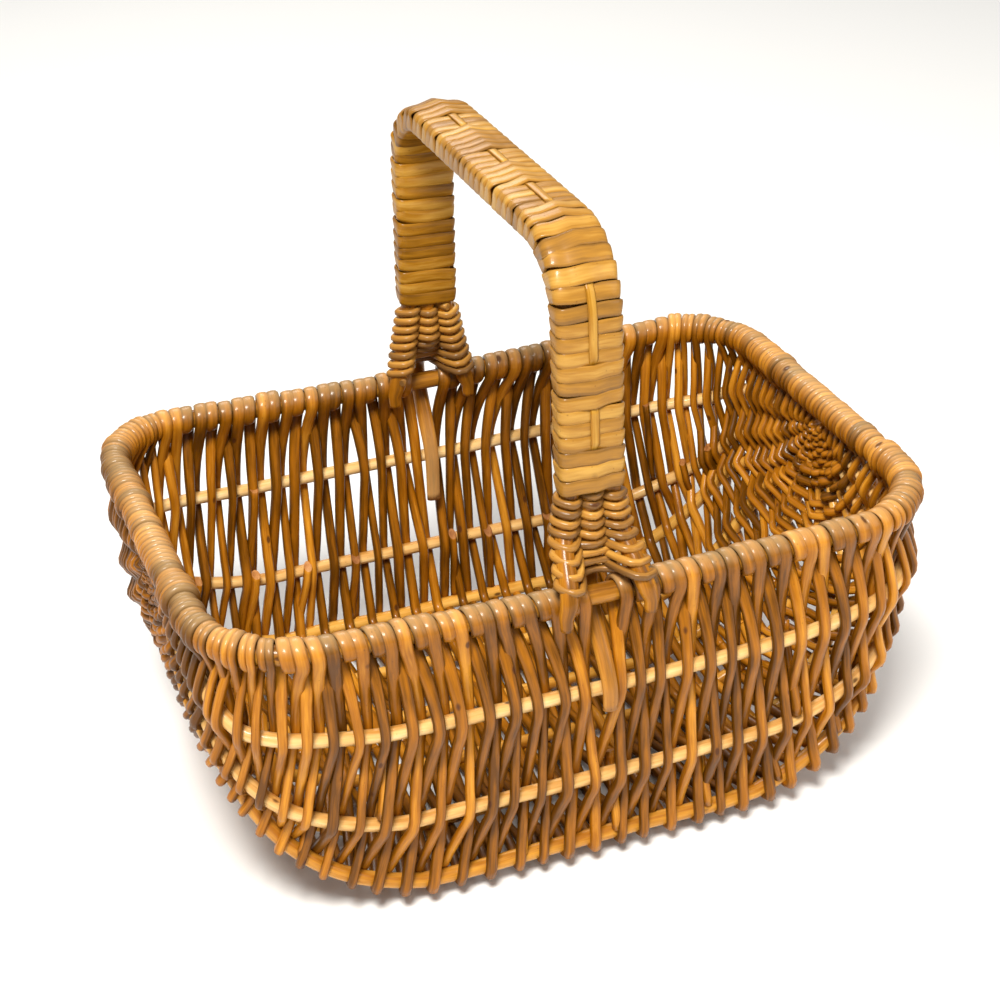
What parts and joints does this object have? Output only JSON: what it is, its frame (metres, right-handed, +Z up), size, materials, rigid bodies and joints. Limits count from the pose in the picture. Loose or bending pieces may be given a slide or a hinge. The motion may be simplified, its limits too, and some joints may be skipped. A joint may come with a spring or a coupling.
{
  "type": "woven market basket",
  "caption": "Open woven willow basket with rounded-rectangle rim, bowed ribs, wicker sides and floor, and a fixed wrapped bow handle across the middle.",
  "frame": {"origin": "on the ground, under the middle of the basket", "axes": "+X along the basket, towards its right end seen from the front; -Y towards the front long side; +Z up"},
  "size_m": [0.4206, 0.3107, 0.369],
  "materials": {
    "rim_rods": "varnished willow rods, satin, tan to amber, wound side by side",
    "rib_rods": "peeled willow rods, pale cream to straw, satin varnish",
    "weave_rods": "buff willow rods, orange-brown to olive-brown, satin varnish",
    "bow_rods": "thick willow rods, yellow ochre, satin varnish",
    "skein_strips": "flat split willow strips, straw-gold, satin varnish"
  },
  "bodies": {
    "root": {"rib_front_upper": "rib_rods", "rib_front_lower": "rib_rods", "rib_front_edge": "rib_rods", "rib_front_floor_outer": "rib_rods", "rib_front_floor_inner": "rib_rods", "rib_back_floor_inner": "rib_rods", "rib_back_floor_outer": "rib_rods", "rib_back_edge": "rib_rods", "rib_back_lower": "rib_rods", "rib_back_upper": "rib_rods", "weave_front_top_left": "weave_rods", "weave_front_top_right": "weave_rods", "weave_front_middle": "weave_rods", "weave_front_lower": "weave_rods", "weave_front_turn": "weave_rods", "weave_front_floor": "weave_rods", "weave_floor_centre": "weave_rods", "weave_back_floor": "weave_rods", "weave_back_turn": "weave_rods", "weave_back_lower": "weave_rods", "weave_back_middle": "weave_rods", "weave_back_top_left": "weave_rods", "weave_back_top_right": "weave_rods", "pole_start_left": "weave_rods", "pole_start_right": "weave_rods", "rim_hoop": "rim_rods", "rim_winding_left_front": "rim_rods", "rim_winding_front_left": "rim_rods", "rim_winding_front_right": "rim_rods", "rim_winding_right": "rim_rods", "rim_winding_back_right": "rim_rods", "rim_winding_back_left": "rim_rods", "rim_winding_left_back": "rim_rods", "handle_bow_left": "bow_rods", "handle_bow_middle": "bow_rods", "handle_bow_right": "bow_rods", "handle_winding": "skein_strips", "handle_listing": "skein_strips", "fan_weave_front_left": "weave_rods", "fan_weave_front_right": "weave_rods", "fan_weave_back_left": "weave_rods", "fan_weave_back_right": "weave_rods"}
  },
  "joints": []
}
